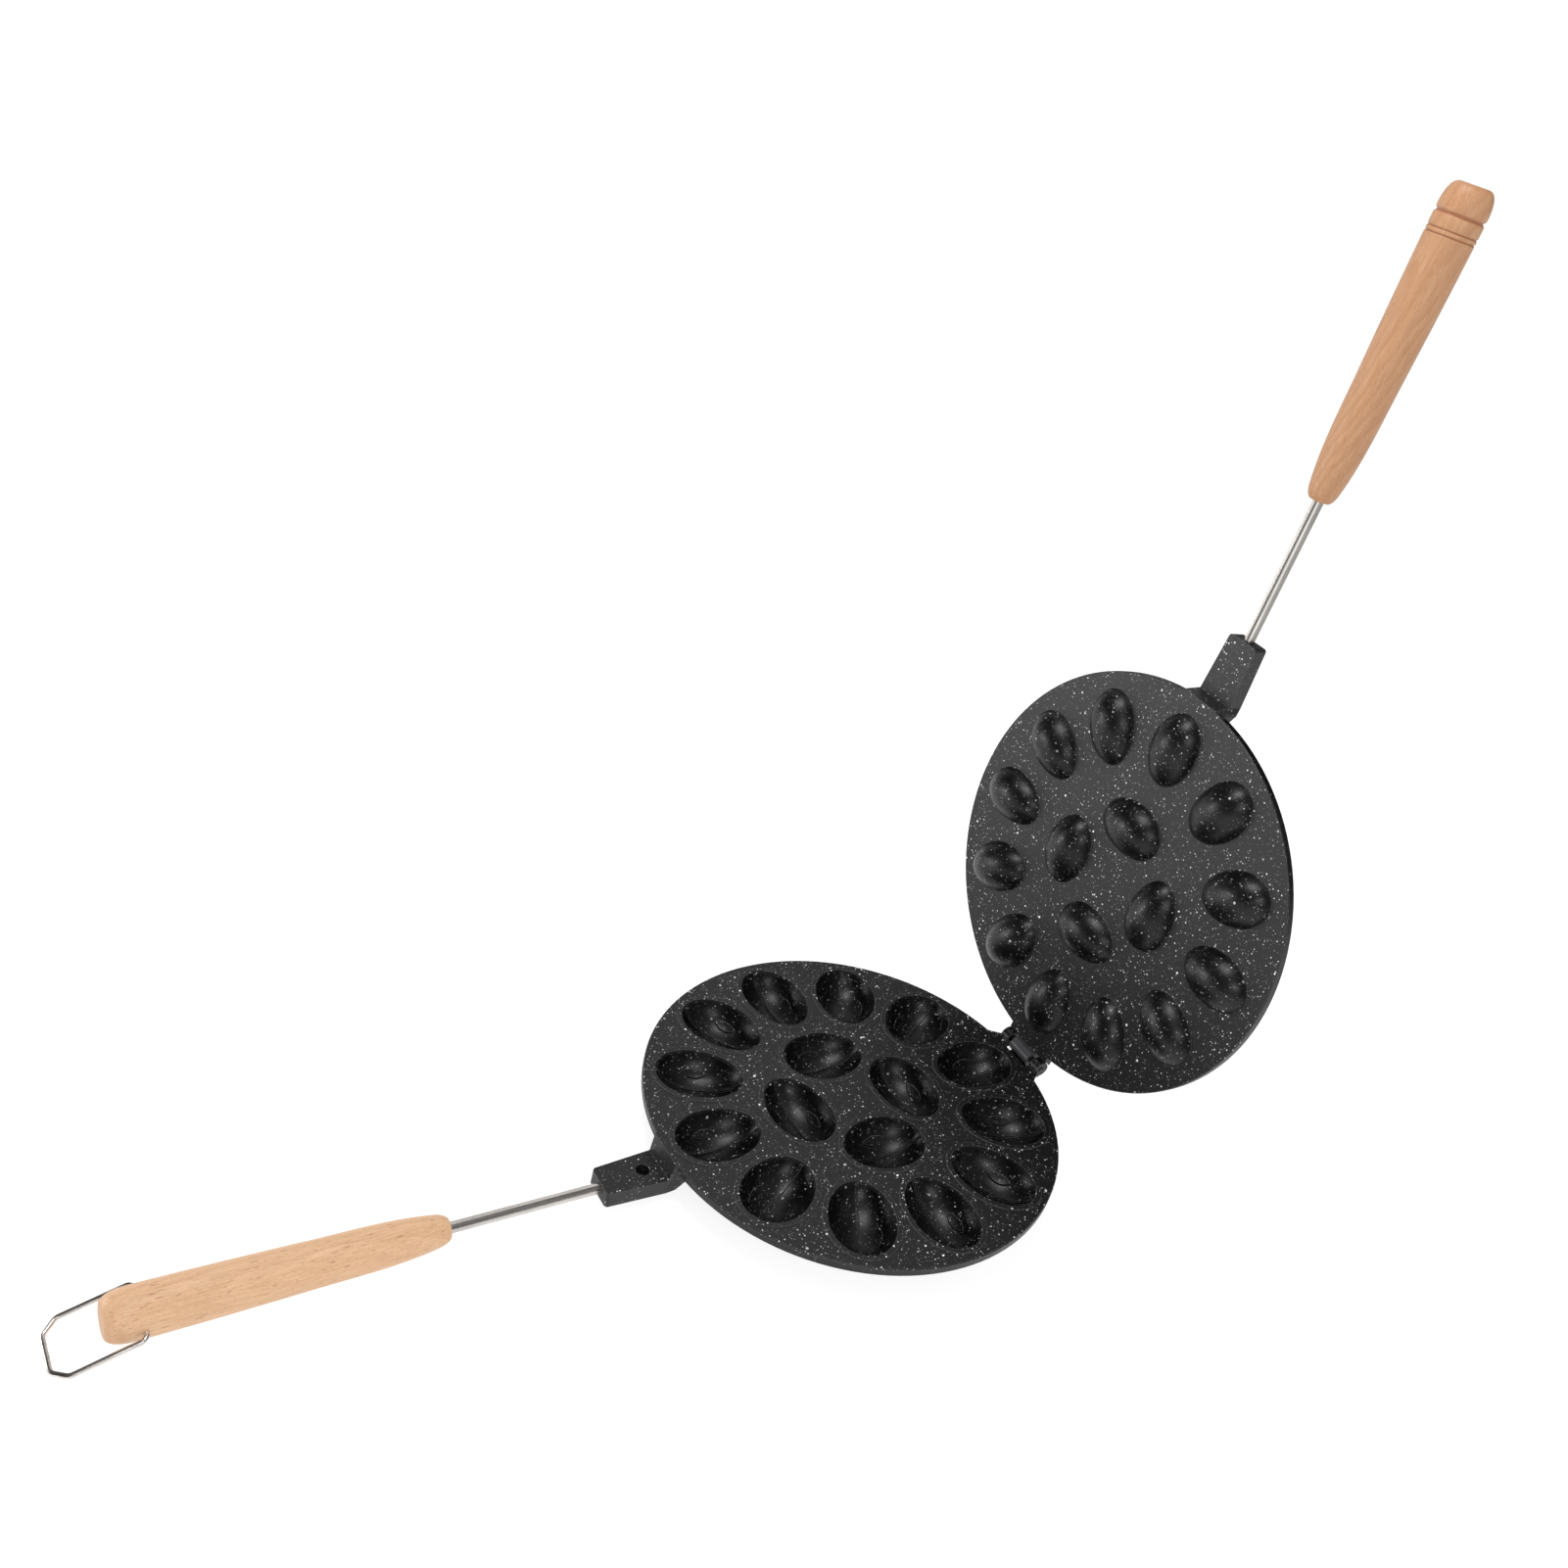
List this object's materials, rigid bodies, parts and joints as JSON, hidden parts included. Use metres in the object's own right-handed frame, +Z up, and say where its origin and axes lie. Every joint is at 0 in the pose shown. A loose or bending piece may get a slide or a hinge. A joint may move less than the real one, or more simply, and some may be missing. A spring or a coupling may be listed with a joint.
{
  "type": "walnut cookie mold",
  "caption": "Hinged stovetop cookie mold: round plate of nut-shaped cavities, matching plate of bumps, steel rods, turned wooden grips and a wire bail that holds them shut.",
  "frame": {"origin": "centre of the open mold's bounding box, on the surface that it stands on", "axes": "+Y runs from the lower grip to the hinge, +X along the hinge pin, +Z up, square to the lower plate's parting face"},
  "size_m": [0.186, 0.488, 0.4216],
  "materials": {
    "coated_casting": "dark speckled non-stick coating, satin",
    "pin_steel": "plain drawn steel",
    "bright_steel": "bright nickel plate",
    "pale_wood": "pale turned beech, smooth",
    "warm_wood": "warmer turned beech, smooth",
    "bail_wire": "bright spring wire"
  },
  "bodies": {
    "lower_half": {"lower_plate": "coated_casting", "hinge_pin": "pin_steel", "lower_rod": "bright_steel", "lower_grip": "pale_wood"},
    "upper_half": {"upper_plate": "coated_casting", "upper_rod": "bright_steel", "upper_grip": "warm_wood"},
    "bail": {"bail_ring": "bail_wire"}
  },
  "joints": [
    {"name": "plate_hinge", "type": "hinge", "parent": "lower_half", "child": "upper_half", "pos_m": [0, 0.17937, 0.0195], "axis": [1, 0, 0], "range_deg": [0, 96.5]},
    {"name": "bail_swing", "type": "hinge", "parent": "lower_half", "child": "bail", "pos_m": [0, -0.2136, 0.01017], "axis": [1, 0, 0], "range_deg": [-105.7, 138]}
  ]
}
